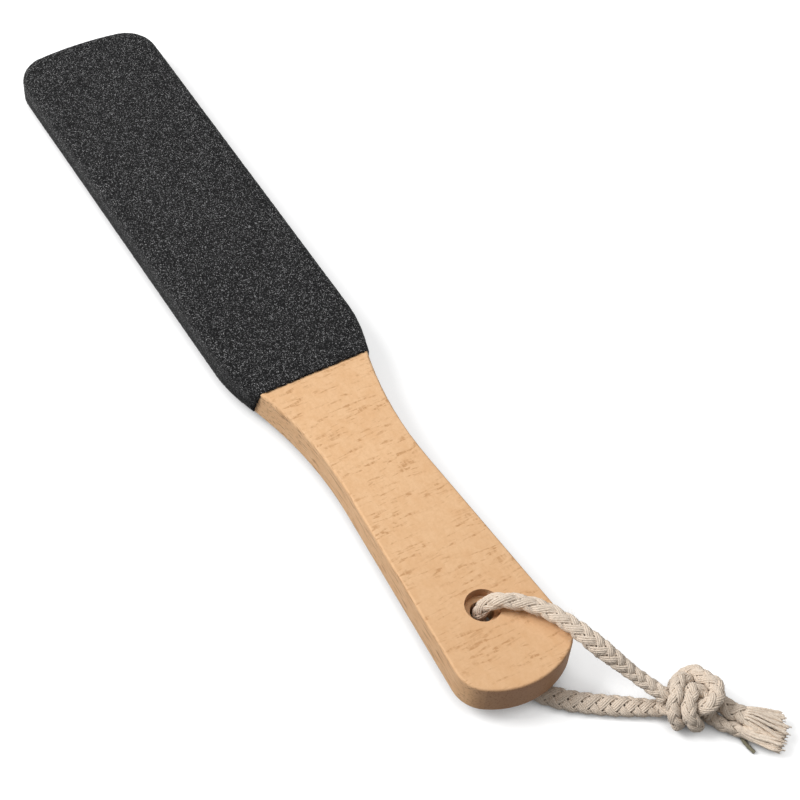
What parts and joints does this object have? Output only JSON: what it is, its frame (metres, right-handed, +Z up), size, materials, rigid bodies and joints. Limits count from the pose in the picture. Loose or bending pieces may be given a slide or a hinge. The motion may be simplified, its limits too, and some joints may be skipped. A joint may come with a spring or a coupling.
{
  "type": "foot file",
  "caption": "Flat wooden paddle with an abrasive head for smoothing hard skin, a waisted handle and a knotted cotton cord loop for hanging.",
  "frame": {"origin": "on the surface that the foot file lies on, under the middle of the paddle's box (the cord not counted)", "axes": "+X along the paddle from the abrasive tip to the handle's end, +Y towards the side where the cord's knot lies, +Z up; the paddle leans by about one degree because its handle lies on the cord"},
  "size_m": [0.303, 0.0781, 0.0203],
  "materials": {
    "beech_wood": "fine-sanded pale beech with short ray flecks, unlacquered matte",
    "bond_resin": "hardened black resin adhesive, hidden under the grit",
    "coarse_grit": "dense coarse black mineral grains with small glints",
    "fine_grit": "dense finer black mineral grains",
    "cotton_cord": "soft undyed cotton braid, fuzzy, with frayed ends"
  },
  "bodies": {
    "paddle_body": {"paddle": "beech_wood", "front_bond_coat": "bond_resin", "front_grit_coat": "coarse_grit", "back_bond_coat": "bond_resin", "back_grit_coat": "fine_grit"},
    "cord_loop": {"cord_in_hole": "cotton_cord", "cord_upper_leg": "cotton_cord", "cord_lower_leg": "cotton_cord", "cord_knot": "cotton_cord", "cord_tail_left": "cotton_cord", "cord_tail_right": "cotton_cord", "cord_fray_left": "cotton_cord", "cord_fray_right": "cotton_cord"}
  },
  "joints": [
    {"name": "loop_swing", "type": "hinge", "parent": "paddle_body", "child": "cord_loop", "pos_m": [0.10582, 0, 0.0098], "axis": [-0.0184, 0, 0.9998], "range_deg": [-160, 90]}
  ]
}
